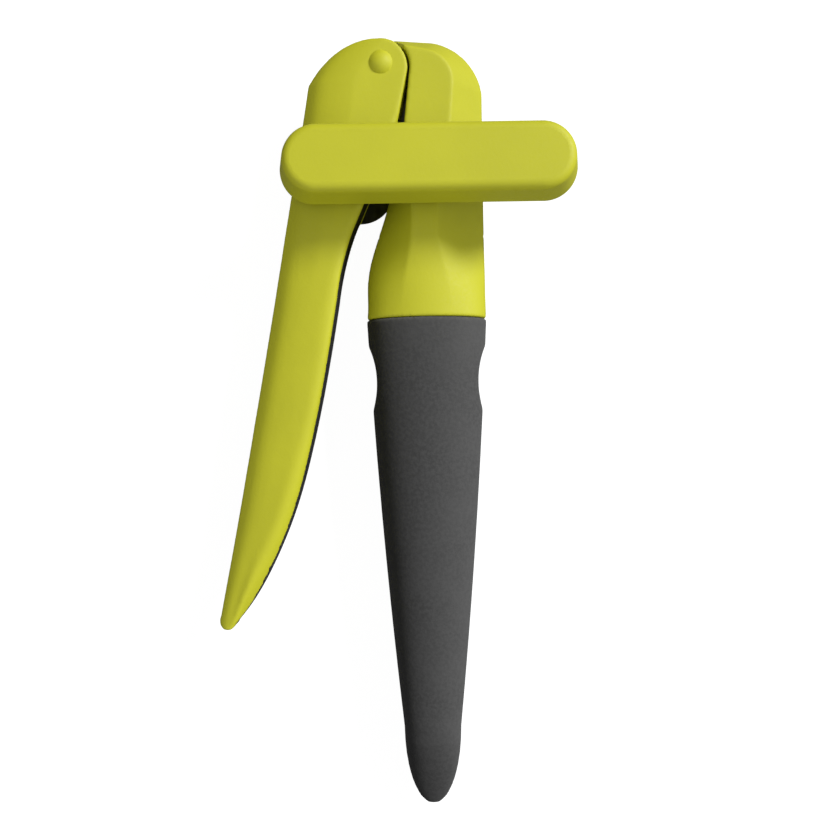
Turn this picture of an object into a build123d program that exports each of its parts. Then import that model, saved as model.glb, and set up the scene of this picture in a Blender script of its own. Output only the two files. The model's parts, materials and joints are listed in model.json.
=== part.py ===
from build123d import *
from math import cos, radians, sin
import os

# Hand-cranked can opener, lying on its back on a table. Millimetres.
# +X runs across the handle, +Y from the grip to the head, +Z up from the table.
# The origin is on the flat along the back of the grip.

# Axes of the mechanism, all parallel to Z
SHAFT = (1.0, 65.0)
PIVOT = (-10.65, 92.85)
CUTTER = (-17.2, 64.75)

# Levels above the table
MID_Z = 12.0
JAW_Z = 7.6
PLATE_T = 2.0
PLATE_TOP = JAW_Z + PLATE_T
LEVER_Z = 10.1
LEVER_TOP = LEVER_Z + PLATE_T
FRONT_Z = 21.0
WALL = 2.0
RIM_H = 1.6

# Handle: head, neck and grip
SEAM_Y = 28.9
SOCKET_Y = 38.0
NECK_Y = 54.0
NECK_STEPS = 4
COVER_SPLIT_Y = 50.5
CHIN_Y = 77.6
RIGHT_X = 15.3
GRIP_FRONT = 8.7
GRIP_BACK = 12.6
GRIP_WALL = 2.0
SCALLOP = (35.1, 12.5, 22.0)
TANG_END = -40.0
TANG_HALF = 5.0
TONGUE_R = 8.8

# Grip at its seam and where its rounded tip starts: half width, height in front of the
# middle plane, depth behind it, and how far each of them swells past a straight taper
GRIP_TOP = (15.6, GRIP_FRONT, GRIP_BACK)
GRIP_END = (7.45, 4.6, 7.9)
GRIP_SWELL = (0.77, 1.45, 1.6)

# The tip turns down towards the back: how far, how much thinner it gets, and how gently
TIP_START = -77.0
TIP_END = -100.3
TIP_DROP = 6.0
TIP_THINNING = 0.95
TIP_EASE = 1.5

# Squeeze lever: Y, left edge, right edge, height in front of the middle plane, and the
# width of the rounding along the right edge
LEVER_STATIONS = [
    (-52.0, -55.2, -50.6, 4.0, 2.2),
    (-34.4, -52.2, -40.9, 6.0, 3.6),
    (-16.8, -48.8, -33.7, 7.2, 2.8),
    (0.8, -45.35, -29.1, 7.9, 2.0),
    (18.4, -41.9, -25.4, 8.4, 1.6),
    (36.0, -38.8, -22.2, 8.7, 1.4),
    (53.6, -35.85, -17.3, 9.0, 1.3),
]
LEVER_HEAD_STATIONS = [
    (53.6, -35.85, -17.3, 9.0, 1.3),
    (66.8, -33.5, -11.5, 9.0, 1.3),
    (80.0, -31.1, -5.9, 9.0, 1.3),
    (88.4, -29.9, -3.5, 9.0, 1.3),
    (92.3, -28.0, -3.0, 9.0, 1.3),
    (95.2, -25.6, -3.0, 9.0, 1.3),
    (102.0, -19.0, 3.0, 9.0, 1.3),
]
# The lever's front face falls away to its left edge: distance from that edge, drop
LEVER_CROWN = [(-1.0, 5.6), (0.0, 4.6), (1.6, 3.2), (3.2, 2.05)]
LEVER_CROWN += [(5.0, 1.3), (7.0, 0.8), (9.5, 0.35), (12.5, 0.0)]
LEVER_CROWN_WIDTH = 14.5
LEVER_BACK_Y = 52.0
LEVER_SPLIT_Y = 54.0
LEVER_ROOF = 3.4
RAIL_T = 1.2
RAIL_Z = 11.5
RAIL_DROP = 2.3

# The lever's head turns inside the body's step: distance from the pivot, angle in degrees
LEVER_ARC = [(6.9, -13), (6.45, 12), (6.3, 60)]
STEP_ARC = [(7.35, -8), (6.95, 18), (6.75, 57)]
STEP_ARC_FRONT = [(7.35, -8), (7.1, 12), (6.85, 36)]

# Key bar
KEY_LENGTH = 74.1
KEY_WIDTH = 17.1
KEY_FRONT_LENGTH = 69.5
KEY_FRONT_WIDTH = 16.3
KEY_INNER_LENGTH = 66.0
KEY_INNER_WIDTH = 12.6
KEY_BACK = 23.5
KEY_FRONT = 35.5
KEY_SCREW_X = 25.0
CROSSBAR_Z = 27.0
CROSSBAR_T = 3.0
TANG_SQUARE = 4.6

# Wheels, shaft and pivot
SHAFT_R = 3.0
SEAT_R = 2.7
THREAD_R = 2.0
FEED_Z = 2.2
FEED_BAND_TOP = 4.6
FEED_R = 6.9
FEED_ROOT_R = 6.2
FEED_HUB_R = 4.4
FEED_TEETH = 26
CUTTER_R = 9.2
CUTTER_FLAT_R = 5.8
CUTTER_Z = 3.5
CUTTER_TOP = 5.4
SHOULDER_R = 2.5
PIN_R = 2.5
RUNNING_FIT = 0.05
SCREW_R = 1.4
SCREW_HEAD_R = 2.7
SCREW_HEAD_H = 1.6
BOSS_R = 3.4


def cylinder(centre, radius, low, high):
    body = Cylinder(radius, high - low, align=(Align.CENTER, Align.CENTER, Align.MIN))
    return Pos(centre[0], centre[1], low) * body


def ring(centre, inner, outer, low, high):
    return cylinder(centre, outer, low, high) - cylinder(centre, inner, low - 1, high + 1)


def slab(low, high):
    size = [high[i] - low[i] for i in range(3)]
    middle = [(high[i] + low[i]) / 2 for i in range(3)]
    return Pos(*middle) * Box(*size)


def prism(edges, low, high):
    return extrude(Pos(0, 0, low) * make_face(edges), high - low, dir=(0, 0, 1))


def polygon_prism(points, low, high):
    return prism(Polyline(*points, close=True), low, high)


def on_circle(centre, radius, degrees):
    angle = radians(degrees)
    return (centre[0] + radius * cos(angle), centre[1] + radius * sin(angle))


def mix(a, b, share):
    return a + (b - a) * share


def smooth_share(value, low, high):
    share = min(1.0, max(0.0, (value - low) / (high - low)))
    return share * share * (3 - 2 * share)


def along(points, value):
    for (y0, x0), (y1, x1) in zip(points, points[1:]):
        if value <= y1:
            return mix(x0, x1, (value - y0) / (y1 - y0))
    return points[-1][1]


def loft_sections(sections, ruled=False):
    wires = [Wire.make_polygon([Vector(*p) for p in section], close=True) for section in sections]
    return Part() + Solid.make_loft(wires, ruled=ruled)


def main_solid(shape):
    return Part() + sorted(shape.solids(), key=lambda s: s.volume)[-1]


# Handle: one outer form, which the covers, the grip and the plate are cut from


def oval_point(y, half, front, back, degrees):
    angle = radians(degrees)
    depth = front if sin(angle) > 0 else back
    return (half * cos(angle), y, MID_Z + depth * sin(angle))


def section_wire(runs):
    """A closed wire of smooth runs, each a list of points that starts where the last one ended."""
    edges = []
    for run in runs:
        points = [Vector(*p) for p in run]
        edges.append(Edge.make_line(*points) if len(points) == 2 else Edge.make_spline(points))
    return Wire(edges)


def neck_section(y, inset=0.0):
    """A faceted section that turns into the oval of the grip towards the seam."""
    left = along([(SEAM_Y, -15.6), (47.8, -13.0), (59.3, -9.4), (CHIN_Y, -5.0)], y) + inset
    right = along([(SEAM_Y, 15.6), (47.8, RIGHT_X), (CHIN_Y, RIGHT_X)], y) - inset
    crest_left = along([(SEAM_Y, -3.0), (55.5, -3.4), (CHIN_Y, -5.0)], y) + inset * 0.7
    crest_right = along([(SEAM_Y, 2.5), (55.5, 2.9), (CHIN_Y, 6.6)], y) - inset * 0.7
    front = FRONT_Z - inset
    back = JAW_Z + min(inset, RIM_H)
    corners = [(right, back), (right, MID_Z), (crest_right, front)]
    corners += [(crest_left, front), (left, MID_Z), (left, back)]
    turns = [-50, 0, 65, 115, 180, 230, 310]
    share = smooth_share(y, SEAM_Y, NECK_Y)
    runs = []
    for side in range(len(corners)):
        (x0, z0), (x1, z1) = corners[side], corners[(side + 1) % len(corners)]
        run = []
        for step in range(NECK_STEPS + 1):
            part = step / NECK_STEPS
            degrees = mix(turns[side], turns[side + 1], part)
            oval = oval_point(y, GRIP_TOP[0] - inset, GRIP_FRONT - inset, GRIP_BACK - inset, degrees)
            flat = (mix(x0, x1, part), mix(z0, z1, part))
            run.append((mix(oval[0], flat[0], share), y, mix(oval[2], flat[1], share)))
        runs.append(run)
    return section_wire(runs)


def neck_form(inset=0.0, start=SEAM_Y):
    count = 6
    stations = [mix(start, CHIN_Y, i / count) for i in range(count + 1)]
    form = Part() + Solid.make_loft([neck_section(y, inset) for y in stations])
    form &= slab((-20, SEAM_Y, -5), (RIGHT_X + 0.2 - inset, CHIN_Y, FRONT_Z - inset))
    return form - slab((-20, COVER_SPLIT_Y, -5), (20, CHIN_Y + 1, JAW_Z + min(inset, RIM_H)))


def pivot_arc(places):
    return ThreePointArc(*[on_circle(PIVOT, radius, degrees) for radius, degrees in places])


def head_outline(step, corner, top, bend, side, foot):
    """The head seen from the front. Its left side is a step wall round the lever's head."""
    arc = pivot_arc(step)
    chin = (-5.0, CHIN_Y)
    outline = Line(chin, arc @ 0) + arc + Line(arc @ 1, corner)
    outline += Line(corner, top) + ThreePointArc(top, bend, side)
    outline += Line(side, foot) + Line(foot, chin)
    return outline


def lever_side():
    """The space beside the step wall, where the lever's head turns."""
    arc = pivot_arc(STEP_ARC)
    outline = arc + Line(arc @ 1, (-9.5, 104)) + Line((-9.5, 104), (-24, 104))
    outline += Line((-24, 104), (-24, 85)) + Line((-24, 85), arc @ 0)
    return prism(outline, PLATE_TOP, FRONT_Z + 1)


def head_form():
    foot = (RIGHT_X, CHIN_Y)
    middle = head_outline(STEP_ARC, (-7.9, 101.95), (2.8, 101.15), (10.0, 97.6), (RIGHT_X, 87.7), foot)
    front = head_outline(STEP_ARC_FRONT, (-4.6, 97.1), (1.2, 95.9), (5.4, 93.3), (7.4, 88.0), (6.6, CHIN_Y))
    faces = [Pos(0, 0, MID_Z) * make_face(middle), Pos(0, 0, FRONT_Z) * make_face(front)]
    return prism(middle, JAW_Z, MID_Z) + loft(faces, ruled=True) - lever_side()


def head_hollow():
    low = [(-2.8, CHIN_Y - 1), (-1.2, 92), (-2.2, 98), (3, 98.6), (8.4, 95), (13.2, 87.5), (13.2, CHIN_Y - 1)]
    top = [(-2.8, CHIN_Y - 1), (-1.2, 92), (-1.9, 93.6), (1, 93), (4, 91), (5.4, 87.5), (4.8, CHIN_Y - 1)]
    sections = [[(x, y, PLATE_TOP) for x, y in low], [(x, y, MID_Z) for x, y in low]]
    sections += [[(x, y, FRONT_Z - WALL) for x, y in top]]
    return loft_sections(sections, ruled=True)


def spigot(clearance=0.0):
    """The oval plug of the grip core that the two covers close round."""
    oval = Ellipse(12.0 + clearance, 6.2 + clearance)
    plane = Plane(origin=(0, SEAM_Y - 1, MID_Z - 1), x_dir=(1, 0, 0), z_dir=(0, 1, 0))
    return extrude(plane * oval, SOCKET_Y - SEAM_Y + 1)


def handle_plate_form():
    lower = on_circle(PIVOT, TONGUE_R, 250)
    upper = on_circle(PIVOT, TONGUE_R, 75)
    left = on_circle(PIVOT, TONGUE_R, 160)
    outline = Line((-TANG_HALF, TANG_END), (TANG_HALF, TANG_END))
    outline += Line((TANG_HALF, TANG_END), (TANG_HALF, 42)) + Line((TANG_HALF, 42), (12.8, 56))
    outline += Line((12.8, 56), (12.8, 87.5)) + ThreePointArc((12.8, 87.5), (8.2, 95.4), (2.4, 98.9))
    outline += Line((2.4, 98.9), upper) + ThreePointArc(upper, left, lower)
    outline += Line(lower, (-6.2, 68)) + Line((-6.2, 68), (-6.6, 58))
    outline += Line((-6.6, 58), (-TANG_HALF, 42)) + Line((-TANG_HALF, 42), (-TANG_HALF, TANG_END))
    return prism(outline, JAW_Z, PLATE_TOP)


BODY_SCREWS = [((8.6, 86.0), JAW_Z, 8.0), ((9.2, 57.5), JAW_Z, 6.0), ((-5.6, 47.0), 6.4, 8.0)]


def screw_set(places):
    """Pan-head screws driven from the back, each with its head's upper face at its level."""
    group = []
    for centre, level, length in places:
        body = cylinder(centre, SCREW_HEAD_R, level - SCREW_HEAD_H, level)
        body += cylinder(centre, SCREW_R, level, level + length)
        x, y = centre
        recess = level - SCREW_HEAD_H - 1
        body -= slab((x - 1.7, y - 0.3, recess), (x + 1.7, y + 0.3, recess + 1.8))
        body -= slab((x - 0.3, y - 1.7, recess), (x + 0.3, y + 1.7, recess + 1.8))
        group.append(body)
    return Compound(children=[b.solid() for b in group])


def screw_holes(places):
    cut = Part()
    for centre, level, length in places:
        cut += cylinder(centre, SCREW_R, level - 0.5, level + length)
        cut += cylinder(centre, SCREW_HEAD_R + 0.2, level - 12, level)
    return cut


def handle_plate():
    plate = handle_plate_form()
    plate -= cylinder(SHAFT, 4.6, JAW_Z - 1, PLATE_TOP + 1)
    plate -= cylinder(PIVOT, PIN_R, JAW_Z - 1, PLATE_TOP + 1)
    for screw in BODY_SCREWS:
        plate -= cylinder(screw[0], SCREW_R, JAW_Z - 1, PLATE_TOP + 1)
    return plate


def body_bosses():
    boss = cylinder(SHAFT, 7.0, PLATE_TOP, FRONT_Z - 1)
    for centre, level, length in BODY_SCREWS:
        boss += cylinder(centre, BOSS_R, PLATE_TOP, level + length + 1)
    return boss


def body_shell():
    outer = neck_form() + head_form()
    hollow = neck_form(WALL, SOCKET_Y) + head_hollow()
    shell = outer - hollow
    shell += body_bosses() & outer
    shell -= spigot()
    shell -= handle_plate_form()
    shell -= cylinder(SHAFT, 4.6, 0, FRONT_Z + 1)
    shell -= slab((-20, -60, -5), (20, 120, 0.4))
    return shell - screw_holes(BODY_SCREWS)


def back_cover_zone():
    return slab((-20, SEAM_Y - 1, -5), (20, COVER_SPLIT_Y, MID_Z))


def body_front_cover(shell):
    return main_solid(shell - back_cover_zone())


def body_back_cover(shell):
    return main_solid(shell & back_cover_zone())


def grip_wire(y, half, front, back, drop=0.0):
    plane = Plane(origin=(0, y, MID_Z - drop), x_dir=(1, 0, 0), z_dir=(0, -1, 0))
    upper = plane * EllipticalCenterArc((0, 0), half, front, 0, arc_size=180)
    lower = plane * EllipticalCenterArc((0, 0), half, back, 180, arc_size=180)
    return Wire([upper.edge(), lower.edge()])


def grip_form(inset=0.0):
    shank, tip = [], []
    for step in range(13):
        share = step / 12
        sizes = []
        for top, end, swell in zip(GRIP_TOP, GRIP_END, GRIP_SWELL):
            sizes.append(mix(top, end, share) + 4 * swell * share * (1 - share) - inset)
        shank.append(grip_wire(mix(SEAM_Y, TIP_START, share), *sizes))
    for step in range(9):
        angle = radians(step * 10)
        half, front, back = [size - inset for size in GRIP_END]
        turn = sin(angle) ** TIP_EASE
        left = 1 - TIP_THINNING * turn
        place = mix(TIP_START, TIP_END + inset, sin(angle))
        tip.append(grip_wire(place, half * cos(angle), front * left, back * left, TIP_DROP * turn))
    form = Part() + Solid.make_loft(shank) + Solid.make_loft(tip, ruled=True)
    for side in (-1, 1):
        form -= cylinder((side * SCALLOP[0], SCALLOP[1]), SCALLOP[2] + inset, -20, 50)
    return form


def grip_core():
    core = grip_form(GRIP_WALL) + spigot()
    return core - handle_plate_form()


def grip_sleeve():
    sleeve = grip_form() - grip_form(GRIP_WALL)
    return sleeve - slab((-20, -110, -5), (20, SEAM_Y + 1, 0))


def shaft_bush():
    bush = cylinder(SHAFT, 4.6, JAW_Z, FRONT_Z)
    bush += cylinder(SHAFT, 6.8, FRONT_Z, FRONT_Z + 1)
    return bush - cylinder(SHAFT, SHAFT_R + RUNNING_FIT, 0, FRONT_Z + 2)


def pivot_pin():
    return cylinder(PIVOT, 4.6, JAW_Z - 1.4, JAW_Z) + cylinder(PIVOT, PIN_R, JAW_Z, LEVER_TOP + 1.5)


def pivot_washer():
    return ring(PIVOT, PIN_R, 5.6, PLATE_TOP, LEVER_Z - RUNNING_FIT)


def pivot_clip():
    clip = ring(PIVOT, PIN_R, 4.8, LEVER_TOP + 0.1, LEVER_TOP + 1.0)
    for turn in (90, 210, 330):
        clip -= cylinder(on_circle(PIVOT, 3.4, turn), 0.8, LEVER_TOP - 1, LEVER_TOP + 2)
    return clip


# Squeeze lever: one outer form cut into a front and a back cover round a steel plate


def lever_outline():
    """The lever seen from the front: round the pivot, up over the shoulder and down to the tip."""
    head = pivot_arc(LEVER_ARC)
    shoulder = [(-11.2, 99.15), (-14.8, 98.95), (-18.9, 97.85), (-22.15, 96.25), (-26.5, 92.45), (-29.4, 88.7)]
    tip = [(-54.4, -47.2), (-53.8, -50.3), (-50.4, -49.0)]
    edge = [tip[2], (-46.2, -43.7), (-39.3, -31.2), (-34.3, -18.7), (-30.7, -6.2), (-26.1, 14.6), (-22.75, 33.4)]
    knee = [(-22.75, 33.4), (-21.3, 41.4), (-18.4, 50.8)]
    outline = head + Spline(head @ 1, *shoulder)
    outline += ThreePointArc(shoulder[-1], (-41.5, 19.7), tip[0])
    outline += ThreePointArc(*tip) + Spline(*edge) + ThreePointArc(*knee)
    outline += Line(knee[2], (-6.75, CHIN_Y)) + Line((-6.75, CHIN_Y), head @ 0)
    return outline


def lever_front_section(y, left, right, height, rounding):
    """A front that falls away to the left and is rounded over on the right."""
    crest = MID_Z + height
    scale = min(1.0, (right - left) / LEVER_CROWN_WIDTH)
    crown = [(left + reach * scale, crest - drop * scale) for reach, drop in LEVER_CROWN]
    brow = [(right - rounding, crest), (right - rounding * 0.45, crest - rounding * 0.18)]
    brow += [(right, crest - rounding * 0.6), (right + 0.5, crest - rounding * 0.6 - 0.7)]
    crown = [point for point in crown if point[0] < right - rounding - 1]
    face = crown + brow
    low_left, low_right = (face[0][0], MID_Z), (face[-1][0], MID_Z)
    runs = [[low_left, face[0]], face, [face[-1], low_right], [low_right, low_left]]
    return section_wire([[(x, y, z) for x, z in run] for run in runs])


def lever_front_form():
    form = Part() + Solid.make_loft([lever_front_section(*station) for station in LEVER_STATIONS])
    head = [lever_front_section(*station) for station in LEVER_HEAD_STATIONS]
    form += Solid.make_loft(head, ruled=True)
    form += slab((-60, LEVER_SPLIT_Y, LEVER_Z), (0, 102, MID_Z))
    return form & prism(lever_outline(), LEVER_Z, FRONT_Z)


def lever_rail():
    """The dark strip along the lever's inner edge, which its back cover carries."""
    sections = []
    for y, left, right, height, rounding in LEVER_STATIONS + LEVER_HEAD_STATIONS[1:3]:
        inner, top = right - RAIL_T, MID_Z + height - RAIL_DROP
        corners = [(inner, RAIL_Z), (right + 1, RAIL_Z), (right + 1, top), (inner, top)]
        sections.append([(x, y, z) for x, z in corners])
    return loft_sections(sections, ruled=True) & prism(lever_outline(), RAIL_Z, FRONT_Z)


def lever_back_form():
    """The rounded back of the lever's handle, below its middle plane."""
    sections = []
    for y, left, right, height, rounding in LEVER_STATIONS:
        depth = height * 0.9 * mix(1.0, 0.35, smooth_share(y, 27.0, 53.6))
        turn = min(3.4, 0.3 * (right - left))
        low = [(left - 1, MID_Z), (left + 0.2, MID_Z - 0.35 * depth), (left + turn, MID_Z - depth)]
        low += [(right - turn, MID_Z - depth), (right - 0.4, MID_Z - 0.35 * depth), (right + 1, MID_Z)]
        sections.append([(x, y, z) for x, z in low])
    form = loft_sections(sections) & prism(lever_outline(), 0, MID_Z)
    return form - slab((-60, LEVER_BACK_Y, 0), (0, 60, MID_Z + 1))


LEVER_HOLLOW = [(-12, 96), (-19, 94.4), (-25.4, 90), (-26.6, 86), (-35.4, 33), (-38.6, 12), (-32.5, 12)]
LEVER_HOLLOW += [(-25.2, 33), (-20.2, 52), (-9, 77.6), (-6.2, 92)]
LEVER_PLATE = [(-9, 96.6), (-19, 95), (-27, 90), (-28.4, 86), (-34.6, 50), (-36.6, 36), (-26, 36)]
LEVER_PLATE += [(-20.6, 51), (-8.9, 77.6), (-5.4, 92)]
LEVER_SCREWS = [((-23.4, 82.0), LEVER_Z, 8.0), ((-30.4, 42.0), 8.4, 8.6), ((-41.2, -12.0), 9.0, 8.0)]


def lever_plate():
    plate = polygon_prism(LEVER_PLATE, LEVER_Z, LEVER_TOP)
    plate -= cylinder(PIVOT, PIN_R + RUNNING_FIT, LEVER_Z - 1, LEVER_TOP + 1)
    plate -= cylinder(CUTTER, THREAD_R, LEVER_Z - 1, LEVER_TOP + 1)
    for screw in LEVER_SCREWS[:2]:
        plate -= cylinder(screw[0], SCREW_R, LEVER_Z - 1, LEVER_TOP + 1)
    return plate


def lever_front_cover(rail):
    outer = lever_front_form() - rail
    cover = outer - polygon_prism(LEVER_HOLLOW, LEVER_TOP, FRONT_Z - LEVER_ROOF)
    bosses = cylinder(PIVOT, 6.0, LEVER_TOP, FRONT_Z - 1)
    for screw in LEVER_SCREWS:
        bosses += cylinder(screw[0], BOSS_R, LEVER_TOP, FRONT_Z - 2.5)
    cover += bosses & outer
    cover -= polygon_prism(LEVER_PLATE, LEVER_Z, LEVER_TOP)
    cover -= cylinder(PIVOT, 5.2, LEVER_Z - 1, LEVER_TOP + 2.2)
    cover -= cylinder(CUTTER, 3.2, LEVER_TOP, LEVER_TOP + 2)
    cover -= cylinder(PIVOT, 1.6, LEVER_Z, FRONT_Z + 1)
    return cover - screw_holes(LEVER_SCREWS)


def lever_back_cover(rail):
    cover = lever_back_form() - polygon_prism(LEVER_PLATE, LEVER_Z, LEVER_TOP)
    hollow = [(-37.6, 30), (-47.6, -24), (-38.6, -24), (-25.8, 30)]
    cover -= polygon_prism(hollow, MID_Z - 4.0, MID_Z + 1)
    cover += cylinder(LEVER_SCREWS[2][0], BOSS_R, MID_Z - 4.5, MID_Z)
    cover += rail
    return cover - screw_holes(LEVER_SCREWS)


def pivot_cap():
    stem = cylinder(PIVOT, 1.6, LEVER_TOP + 4, FRONT_Z)
    dome_r, rise = 3.0, 1.3
    ball_r = (dome_r * dome_r + rise * rise) / (2 * rise)
    ball = Pos(PIVOT[0], PIVOT[1], FRONT_Z + rise - ball_r) * Sphere(ball_r)
    return stem + (ball & cylinder(PIVOT, dome_r, FRONT_Z, FRONT_Z + 3))


def cutter_screw():
    screw = cylinder(CUTTER, 4.2, 0, CUTTER_Z - 0.1)
    rim = screw.edges().filter_by(GeomType.CIRCLE).sort_by(Axis.Z)[0]
    screw = fillet(rim, 1.2)
    screw += cylinder(CUTTER, SHOULDER_R, CUTTER_Z - 0.1, LEVER_Z)
    screw += cylinder(CUTTER, THREAD_R, LEVER_Z, LEVER_TOP + 0.8)
    x, y = CUTTER
    return screw - slab((x - 5, y - 0.5, -1), (x + 5, y + 0.5, 1.2))


def cutter_spacer():
    return ring(CUTTER, SHOULDER_R, 4.5, CUTTER_TOP + 0.1, LEVER_Z)


def cutter_wheel():
    bore = SHOULDER_R + RUNNING_FIT
    edge = CUTTER_TOP - 0.15
    profile = [(bore, CUTTER_Z), (CUTTER_FLAT_R, CUTTER_Z), (CUTTER_R, edge), (CUTTER_R, CUTTER_TOP)]
    profile.append((bore, CUTTER_TOP))
    face = Plane.XZ * make_face(Polyline(*profile, close=True))
    return Pos(CUTTER[0], CUTTER[1], 0) * revolve(face, Axis.Z)


# Key: a hollow bar on the drive shaft, with the feed wheel on its far end


def key_bar(length, width, low, high):
    return extrude(Pos(SHAFT[0], SHAFT[1], low) * SlotOverall(length, width), high - low)


KEY_SCREWS = [((SHAFT[0] + side * KEY_SCREW_X, SHAFT[1]), KEY_BACK + 1.8, 8.0) for side in (-1, 1)]


def key_shell():
    back = Pos(SHAFT[0], SHAFT[1], KEY_BACK) * SlotOverall(KEY_LENGTH, KEY_WIDTH)
    front = Pos(SHAFT[0], SHAFT[1], KEY_FRONT) * SlotOverall(KEY_FRONT_LENGTH, KEY_FRONT_WIDTH)
    shell = loft([back, front], ruled=True)
    shell = fillet(shell.faces().sort_by(Axis.Z)[-1].edges(), 2.2)
    shell = fillet(shell.faces().sort_by(Axis.Z)[0].edges(), 0.6)
    shell -= key_bar(KEY_INNER_LENGTH, KEY_INNER_WIDTH, KEY_BACK - 1, KEY_FRONT - 2.4)
    roof = CROSSBAR_Z + CROSSBAR_T
    ribs = cylinder(SHAFT, 5.6, roof + 1.4, KEY_FRONT - 1) - cylinder(SHAFT, 3.8, roof, roof + 2.4)
    for screw in KEY_SCREWS:
        ribs += cylinder(screw[0], 3.2, KEY_BACK + 2.4, KEY_FRONT - 1)
    return shell + ribs - screw_holes(KEY_SCREWS) - key_crossbar_form()


def key_back_plate():
    plate = key_bar(KEY_INNER_LENGTH, KEY_INNER_WIDTH, KEY_BACK, KEY_BACK + 2.4)
    plate += key_bar(2 * KEY_SCREW_X - 8, 9, KEY_BACK + 2.4, CROSSBAR_Z)
    plate -= cylinder(SHAFT, 4.4, KEY_BACK - 1, CROSSBAR_Z + 1)
    return plate - screw_holes(KEY_SCREWS)


def key_crossbar_form():
    return key_bar(2 * KEY_SCREW_X - 8, 8, CROSSBAR_Z, CROSSBAR_Z + CROSSBAR_T)


def square_post(low, high):
    half = TANG_SQUARE / 2
    x, y = SHAFT
    return slab((x - half, y - half, low), (x + half, y + half, high))


def key_crossbar():
    return key_crossbar_form() - square_post(CROSSBAR_Z - 1, CROSSBAR_Z + CROSSBAR_T + 1)


def seat_flats(low, high):
    x, y = SHAFT
    return cylinder(SHAFT, SEAT_R, low, high) & slab((x - 2.1, y - 4, low), (x + 2.1, y + 4, high))


def drive_shaft():
    top = CROSSBAR_Z + CROSSBAR_T
    shaft = cylinder(SHAFT, THREAD_R, 0, FEED_Z) + seat_flats(FEED_Z, JAW_Z - 0.1)
    shaft += cylinder(SHAFT, SHAFT_R, JAW_Z - 0.1, KEY_BACK)
    shaft += cylinder(SHAFT, 4.4, KEY_BACK, CROSSBAR_Z)
    shaft += square_post(CROSSBAR_Z, top)
    return shaft + cylinder(SHAFT, 3.7, top, top + 1.2)


def thrust_washer():
    return ring(SHAFT, SHAFT_R, 6.0, FRONT_Z + 1.1, FRONT_Z + 1.7)


def spring_washer():
    low, high = FRONT_Z + 1.7, KEY_BACK
    profile = [(SHAFT_R, high - 0.45), (4.2, high - 0.45), (5.6, low), (5.6, low + 0.45), (4.2, high), (SHAFT_R, high)]
    face = Plane.XZ * make_face(Polyline(*profile, close=True))
    return Pos(SHAFT[0], SHAFT[1], 0) * revolve(face, Axis.Z)


def feed_wheel():
    points = []
    for tooth in range(FEED_TEETH):
        start = 360 * tooth / FEED_TEETH
        points.append(on_circle(SHAFT, FEED_R, start))
        points.append(on_circle(SHAFT, FEED_ROOT_R, start + 180 / FEED_TEETH))
    band = polygon_prism(points, FEED_Z, FEED_BAND_TOP)
    wheel = band + cylinder(SHAFT, FEED_HUB_R, FEED_BAND_TOP, JAW_Z - 0.1)
    return wheel - seat_flats(FEED_Z, JAW_Z - 0.1)


def feed_wheel_nut():
    blank = extrude(Pos(SHAFT[0], SHAFT[1], 0) * RegularPolygon(4.6, 6), FEED_Z)
    return blank - cylinder(SHAFT, THREAD_R, -1, FEED_Z + 1)


def main():
    shell = body_shell()
    rail = lever_rail()
    parts = {
        "handle_plate": handle_plate(),
        "body_front_cover": body_front_cover(shell),
        "body_back_cover": body_back_cover(shell),
        "body_screws": screw_set(BODY_SCREWS),
        "grip_core": grip_core(),
        "grip_sleeve": grip_sleeve(),
        "shaft_bush": shaft_bush(),
        "pivot_pin": pivot_pin(),
        "pivot_washer": pivot_washer(),
        "pivot_clip": pivot_clip(),
        "lever_plate": lever_plate(),
        "lever_front_cover": lever_front_cover(rail),
        "lever_back_cover": lever_back_cover(rail),
        "lever_screws": screw_set(LEVER_SCREWS),
        "pivot_cap": pivot_cap(),
        "cutter_screw": cutter_screw(),
        "cutter_spacer": cutter_spacer(),
        "cutter_wheel": cutter_wheel(),
        "key_shell": key_shell(),
        "key_back_plate": key_back_plate(),
        "key_crossbar": key_crossbar(),
        "key_screws": screw_set(KEY_SCREWS),
        "drive_shaft": drive_shaft(),
        "thrust_washer": thrust_washer(),
        "spring_washer": spring_washer(),
        "feed_wheel": feed_wheel(),
        "feed_wheel_nut": feed_wheel_nut(),
    }
    os.makedirs("parts", exist_ok=True)
    for name, shape in parts.items():
        export_step(shape, f"parts/{name}.step")
        print(name, len(shape.solids()), round(shape.volume))


main()
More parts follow.
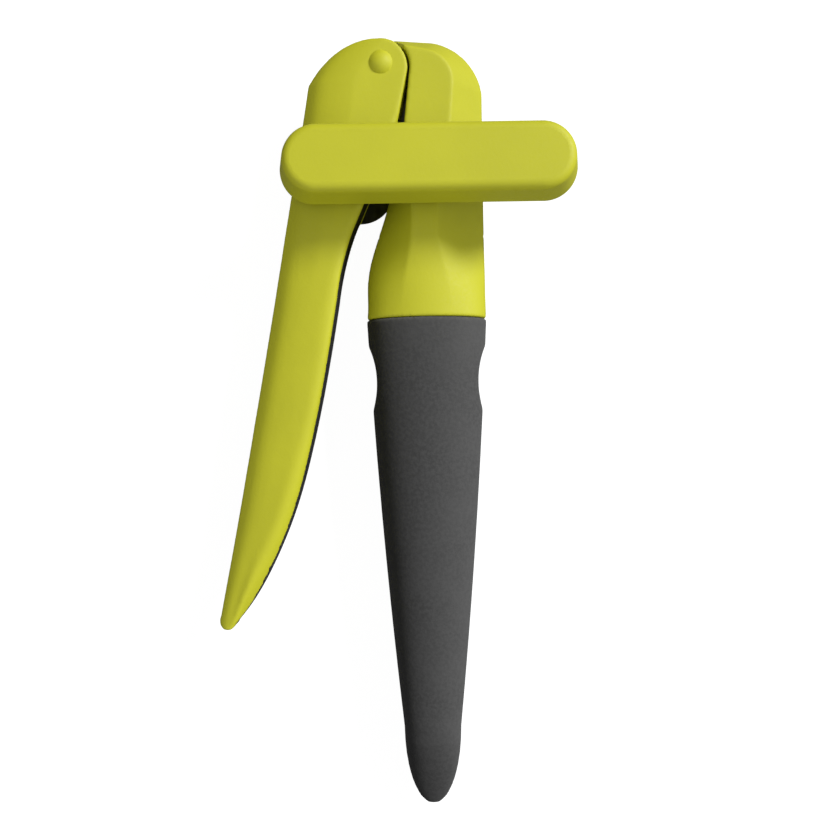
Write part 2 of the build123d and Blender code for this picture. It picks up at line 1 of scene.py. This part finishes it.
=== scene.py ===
import json
import math
import bpy
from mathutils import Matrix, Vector

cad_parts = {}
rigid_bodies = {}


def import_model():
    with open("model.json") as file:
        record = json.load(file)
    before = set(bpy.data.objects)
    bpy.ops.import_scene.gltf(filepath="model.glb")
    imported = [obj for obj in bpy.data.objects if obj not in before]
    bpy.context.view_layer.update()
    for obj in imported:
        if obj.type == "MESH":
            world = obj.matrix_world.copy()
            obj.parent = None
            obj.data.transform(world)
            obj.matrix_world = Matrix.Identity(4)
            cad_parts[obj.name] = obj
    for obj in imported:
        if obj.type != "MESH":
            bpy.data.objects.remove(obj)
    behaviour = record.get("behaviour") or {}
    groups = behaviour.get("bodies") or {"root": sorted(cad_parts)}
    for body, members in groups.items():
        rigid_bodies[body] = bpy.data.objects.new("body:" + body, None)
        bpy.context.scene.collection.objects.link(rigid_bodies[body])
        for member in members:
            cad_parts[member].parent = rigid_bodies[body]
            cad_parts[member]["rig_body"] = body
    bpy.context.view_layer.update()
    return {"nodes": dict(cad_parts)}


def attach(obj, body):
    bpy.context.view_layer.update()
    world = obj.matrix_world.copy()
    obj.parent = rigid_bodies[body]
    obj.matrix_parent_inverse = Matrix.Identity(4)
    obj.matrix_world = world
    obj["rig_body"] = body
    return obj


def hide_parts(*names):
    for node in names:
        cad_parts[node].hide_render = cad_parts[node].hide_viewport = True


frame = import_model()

# A hand-cranked can opener on its back, seen from straight above.
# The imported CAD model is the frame. Moulded pieces are remeshed with soft edges, and every
# piece gets a procedural material. Metres, row frame.

NODES = frame["nodes"]
MM = 0.001


# Shader helpers


def new_material(name, **sockets):
    """A material whose Principled shader has these constants on its own sockets."""
    material = bpy.data.materials.new(name)
    material.use_nodes = True
    shader = material.node_tree.nodes["Principled BSDF"]
    for socket, value in sockets.items():
        shader.inputs[socket.replace("_", " ")].default_value = value
    return material, material.node_tree, shader


def object_noise(tree, scale, detail=2.0, roughness=0.5, stretch=(1, 1, 1)):
    """A noise in the part's own space, scale in cycles per metre."""
    place = tree.nodes.new("ShaderNodeTexCoord")
    mapping = tree.nodes.new("ShaderNodeMapping")
    mapping.inputs["Scale"].default_value = stretch
    noise = tree.nodes.new("ShaderNodeTexNoise")
    noise.inputs["Scale"].default_value = scale
    noise.inputs["Detail"].default_value = detail
    noise.inputs["Roughness"].default_value = roughness
    tree.links.new(place.outputs["Object"], mapping.inputs["Vector"])
    tree.links.new(mapping.outputs["Vector"], noise.inputs["Vector"])
    return noise.outputs["Fac"]


def ramp(tree, factor, stops):
    """A colour ramp over a factor, from (position, colour) pairs."""
    node = tree.nodes.new("ShaderNodeValToRGB")
    elements = node.color_ramp.elements
    while len(elements) < len(stops):
        elements.new(0.5)
    for element, (position, colour) in zip(elements, stops):
        element.position = position
        element.color = (*colour, 1.0)
    tree.links.new(factor, node.inputs["Fac"])
    return node.outputs["Color"]


def blend_colour(tree, factor, first, second):
    mix = tree.nodes.new("ShaderNodeMix")
    mix.data_type = "RGBA"
    tree.links.new(factor, mix.inputs["Factor"])
    tree.links.new(first, mix.inputs["A"])
    tree.links.new(second, mix.inputs["B"])
    return mix.outputs["Result"]


def remap(tree, value, low, high, new_low, new_high):
    node = tree.nodes.new("ShaderNodeMapRange")
    node.inputs["From Min"].default_value = low
    node.inputs["From Max"].default_value = high
    node.inputs["To Min"].default_value = new_low
    node.inputs["To Max"].default_value = new_high
    tree.links.new(value, node.inputs["Value"])
    return node.outputs["Result"]


def add_bump(tree, shader, height, strength, distance):
    bump = tree.nodes.new("ShaderNodeBump")
    bump.inputs["Strength"].default_value = strength
    bump.inputs["Distance"].default_value = distance
    tree.links.new(height, bump.inputs["Height"])
    tree.links.new(bump.outputs["Normal"], shader.inputs["Normal"])


# Materials

LIME = (0.54, 0.54, 0.005)
LIME_DEEP = (0.51, 0.51, 0.004)


def lime_plastic():
    """Satin moulded plastic with a fine spark texture and faint flow variation."""
    material, tree, shader = new_material("lime_plastic", IOR=1.48, Specular_IOR_Level=0.75)
    flow = object_noise(tree, 45.0, 3.0)
    colour = ramp(tree, flow, [(0.35, LIME_DEEP), (0.65, LIME)])
    tree.links.new(colour, shader.inputs["Base Color"])
    grain = object_noise(tree, 1400.0, 2.0)
    tree.links.new(remap(tree, grain, 0.3, 0.7, 0.60, 0.72), shader.inputs["Roughness"])
    add_bump(tree, shader, grain, 0.35, 0.00006)
    return material


def soft_grip():
    """Matte rubber: fine pimpled skin, slightly dusty."""
    material, tree, shader = new_material("soft_grip", IOR=1.5, Specular_IOR_Level=0.25)
    shader.inputs["Sheen Weight"].default_value = 0.12
    shader.inputs["Sheen Roughness"].default_value = 0.5
    speckle = object_noise(tree, 1100.0, 3.0, 0.6)
    dust = object_noise(tree, 60.0, 3.0)
    fine = ramp(tree, speckle, [(0.38, (0.088, 0.088, 0.088)), (0.62, (0.132, 0.132, 0.132))])
    broad = ramp(tree, dust, [(0.35, (0.098, 0.098, 0.098)), (0.65, (0.120, 0.120, 0.120))])
    tree.links.new(blend_colour(tree, dust, fine, broad), shader.inputs["Base Color"])
    tree.links.new(remap(tree, speckle, 0.3, 0.7, 0.66, 0.82), shader.inputs["Roughness"])
    add_bump(tree, shader, speckle, 0.5, 0.00010)
    return material


def metal(name, dark, light, smooth, rough, stretch):
    """Bare metal with drawn grain: the noise is stretched along the grain."""
    material, tree, shader = new_material(name, Metallic=1.0, IOR=2.5)
    grain = object_noise(tree, 900.0, 4.0, 0.6, stretch)
    tree.links.new(ramp(tree, grain, [(0.3, dark), (0.7, light)]), shader.inputs["Base Color"])
    tree.links.new(remap(tree, grain, 0.3, 0.7, smooth, rough), shader.inputs["Roughness"])
    add_bump(tree, shader, grain, 0.25, 0.00003)
    return material


def nylon():
    material, tree, shader = new_material("washer_nylon", IOR=1.53)
    shader.inputs["Subsurface Weight"].default_value = 0.15
    shader.inputs["Subsurface Scale"].default_value = 0.001
    cloud = object_noise(tree, 500.0, 3.0)
    colour = ramp(tree, cloud, [(0.3, (0.66, 0.65, 0.60)), (0.7, (0.76, 0.75, 0.70))])
    tree.links.new(colour, shader.inputs["Base Color"])
    tree.links.new(remap(tree, cloud, 0.3, 0.7, 0.38, 0.5), shader.inputs["Roughness"])
    return material


def core_plastic():
    material, tree, shader = new_material("core_plastic", IOR=1.49)
    cloud = object_noise(tree, 700.0, 3.0)
    colour = ramp(tree, cloud, [(0.3, (0.030, 0.030, 0.031)), (0.7, (0.046, 0.046, 0.047))])
    tree.links.new(colour, shader.inputs["Base Color"])
    tree.links.new(remap(tree, cloud, 0.3, 0.7, 0.45, 0.6), shader.inputs["Roughness"])
    return material


MATERIALS = {
    "lime_plastic": lime_plastic(),
    "soft_grip": soft_grip(),
    "core_plastic": core_plastic(),
    "washer_nylon": nylon(),
    "plate_steel": metal("plate_steel", (0.40, 0.40, 0.39), (0.56, 0.56, 0.55), 0.28, 0.42, (1, 0.05, 1)),
    "screw_steel": metal("screw_steel", (0.42, 0.42, 0.42), (0.60, 0.60, 0.60), 0.22, 0.38, (1, 1, 0.1)),
    "wheel_steel": metal("wheel_steel", (0.30, 0.30, 0.28), (0.44, 0.44, 0.41), 0.26, 0.40, (0.3, 1, 1)),
    "dark_steel": metal("dark_steel", (0.12, 0.12, 0.10), (0.20, 0.20, 0.17), 0.32, 0.48, (1, 0.2, 1)),
    "bush_brass": metal("bush_brass", (0.45, 0.32, 0.12), (0.58, 0.43, 0.18), 0.25, 0.4, (1, 1, 0.1)),
}

FINISH = {
    "lime_plastic": ["body_front_cover", "body_back_cover", "lever_front_cover",
                     "pivot_cap", "key_shell", "key_back_plate"],
    "soft_grip": ["grip_sleeve"],
    # The lever's back cover is painted near-black, which darkens the strip along the lever's inner edge
    # beside the lime shell.
    "core_plastic": ["grip_core", "lever_back_cover"],
    "washer_nylon": ["pivot_washer", "thrust_washer", "cutter_spacer"],
    "plate_steel": ["handle_plate", "lever_plate", "key_crossbar"],
    "screw_steel": ["body_screws", "lever_screws", "key_screws", "cutter_screw", "pivot_clip",
                    "pivot_pin", "feed_wheel_nut", "spring_washer"],
    "wheel_steel": ["feed_wheel", "drive_shaft"],
    "dark_steel": ["cutter_wheel"],
    "bush_brass": ["shaft_bush"],
}


def finish_of(node):
    return next(finish for finish, names in FINISH.items() if node in names)


def paint(piece, material):
    piece.data.materials.clear()
    piece.data.materials.append(material)


def paint_nodes():
    for finish, names in FINISH.items():
        for name in names:
            paint(NODES[name], MATERIALS[finish])


# Moulded pieces, with the voxel size that each one is remeshed at

MOULDED = {
    "body_front_cover": 0.40 * MM,
    "body_back_cover": 0.40 * MM,
    "lever_front_cover": 0.40 * MM,
    "lever_back_cover": 0.40 * MM,
    "grip_sleeve": 0.50 * MM,
}
SMOOTH_PASSES = 6


def moulded(node, voxel):
    """Replace a CAD piece with a copy that has the small edge radii a mould gives it."""
    source = NODES[node]
    piece = bpy.data.objects.new(node + "_moulded", source.data.copy())
    bpy.context.scene.collection.objects.link(piece)
    remesh = piece.modifiers.new("remesh", "REMESH")
    remesh.mode = "VOXEL"
    remesh.voxel_size = voxel
    remesh.use_smooth_shade = True
    soften = piece.modifiers.new("soften", "SMOOTH")
    soften.factor = 0.5
    soften.iterations = SMOOTH_PASSES
    bpy.context.view_layer.update()
    graph = bpy.context.evaluated_depsgraph_get()
    mesh = bpy.data.meshes.new_from_object(piece.evaluated_get(graph))
    piece.modifiers.clear()
    piece.data = mesh
    mesh.shade_smooth()
    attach(piece, source["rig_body"])
    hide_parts(node)
    paint(piece, MATERIALS[finish_of(node)])


# Camera, floor and light

MID_Z = 12 * MM
EYE_HEIGHT = 230 * MM
VIEW_CENTRE = (-2.15 * MM, 2.7 * MM)
VIEW_HALF = 109.8 * MM
TURN = -0.9
FLOOR_HALF = 3.0
FLOOR_GAP = 0.2 * MM
FLOOR_GLOW = 0.97
SKY = 0.09
SKY_SEEN = 0.95
KEY_FROM = (1.25, 0.88, 1.0)
KEY_STRENGTH = 2.75
KEY_SPREAD = 16.0
FILL_FROM = (0.50, -0.90, 1.0)
FILL_STRENGTH = 1.85
FILL_SPREAD = 170.0


def make_camera():
    camera = bpy.data.cameras.new("camera")
    camera.sensor_width = 36.0
    camera.lens = camera.sensor_width / 2 * EYE_HEIGHT / VIEW_HALF
    camera.clip_start = 0.01
    camera.clip_end = 50.0
    holder = bpy.data.objects.new("camera", camera)
    holder.location = (*VIEW_CENTRE, MID_Z + EYE_HEIGHT)
    holder.rotation_euler = (0, 0, math.radians(TURN))
    bpy.context.scene.collection.objects.link(holder)
    bpy.context.scene.camera = holder


def make_floor():
    """A pale table that the camera sees almost white all over, so that no shadow shows on it."""
    mesh = bpy.data.meshes.new("floor")
    x, y = FLOOR_HALF, FLOOR_HALF
    corners = [(-x, -y, 0), (x, -y, 0), (x, y, 0), (-x, y, 0)]
    mesh.from_pydata(corners, [], [(0, 1, 2, 3)])
    floor = bpy.data.objects.new("floor", mesh)
    floor.location.z = -FLOOR_GAP
    bpy.context.scene.collection.objects.link(floor)
    material, tree, shader = new_material("floor_white", Roughness=0.9, Specular_IOR_Level=0.1)
    shader.inputs["Emission Color"].default_value = (1, 1, 1, 1)
    path = tree.nodes.new("ShaderNodeLightPath")
    glow = remap(tree, path.outputs["Is Camera Ray"], 0.0, 1.0, 0.0, FLOOR_GLOW)
    tree.links.new(glow, shader.inputs["Emission Strength"])
    cloud = object_noise(tree, 3.0, 2.0)
    colour = ramp(tree, cloud, [(0.3, (0.35, 0.35, 0.35)), (0.7, (0.37, 0.37, 0.37))])
    tree.links.new(colour, shader.inputs["Base Color"])
    paint(floor, material)


def aim(holder, target):
    direction = Vector(target) - holder.location
    holder.rotation_euler = direction.to_track_quat("-Z", "Y").to_euler()


def add_sun(name, towards, strength, spread):
    """A far soft light, shining from a direction."""
    lamp = bpy.data.lights.new(name, "SUN")
    lamp.energy = strength
    lamp.angle = math.radians(spread)
    holder = bpy.data.objects.new(name, lamp)
    holder.location = Vector(towards)
    bpy.context.scene.collection.objects.link(holder)
    aim(holder, (0, 0, 0))
    return holder


def light_only(holder, material):
    """Make a light shine on nothing but the pieces of one material."""
    lit = bpy.data.collections.new("lit by " + holder.name)
    for piece in bpy.data.objects:
        if piece.type == "MESH" and material in list(piece.data.materials):
            lit.objects.link(piece)
    holder.light_linking.receiver_collection = lit


def make_world():
    """A low even sky, which only the camera sees as nearly white."""
    world = bpy.data.worlds.new("studio")
    world.use_nodes = True
    bpy.context.scene.world = world
    tree = world.node_tree
    background = tree.nodes["Background"]
    background.inputs["Color"].default_value = (1.0, 1.0, 1.0, 1.0)
    path = tree.nodes.new("ShaderNodeLightPath")
    level = remap(tree, path.outputs["Is Camera Ray"], 0.0, 1.0, SKY, SKY_SEEN)
    tree.links.new(level, background.inputs["Strength"])


def make_studio():
    bpy.context.scene.view_settings.view_transform = "Standard"
    make_world()
    add_sun("key", KEY_FROM, KEY_STRENGTH, KEY_SPREAD)
    fill = add_sun("fill", FILL_FROM, FILL_STRENGTH, FILL_SPREAD)
    fill.visible_glossy = False
    light_only(fill, MATERIALS["lime_plastic"])


paint_nodes()
for moulded_node, voxel_size in MOULDED.items():
    moulded(moulded_node, voxel_size)
make_camera()
make_floor()
make_studio()
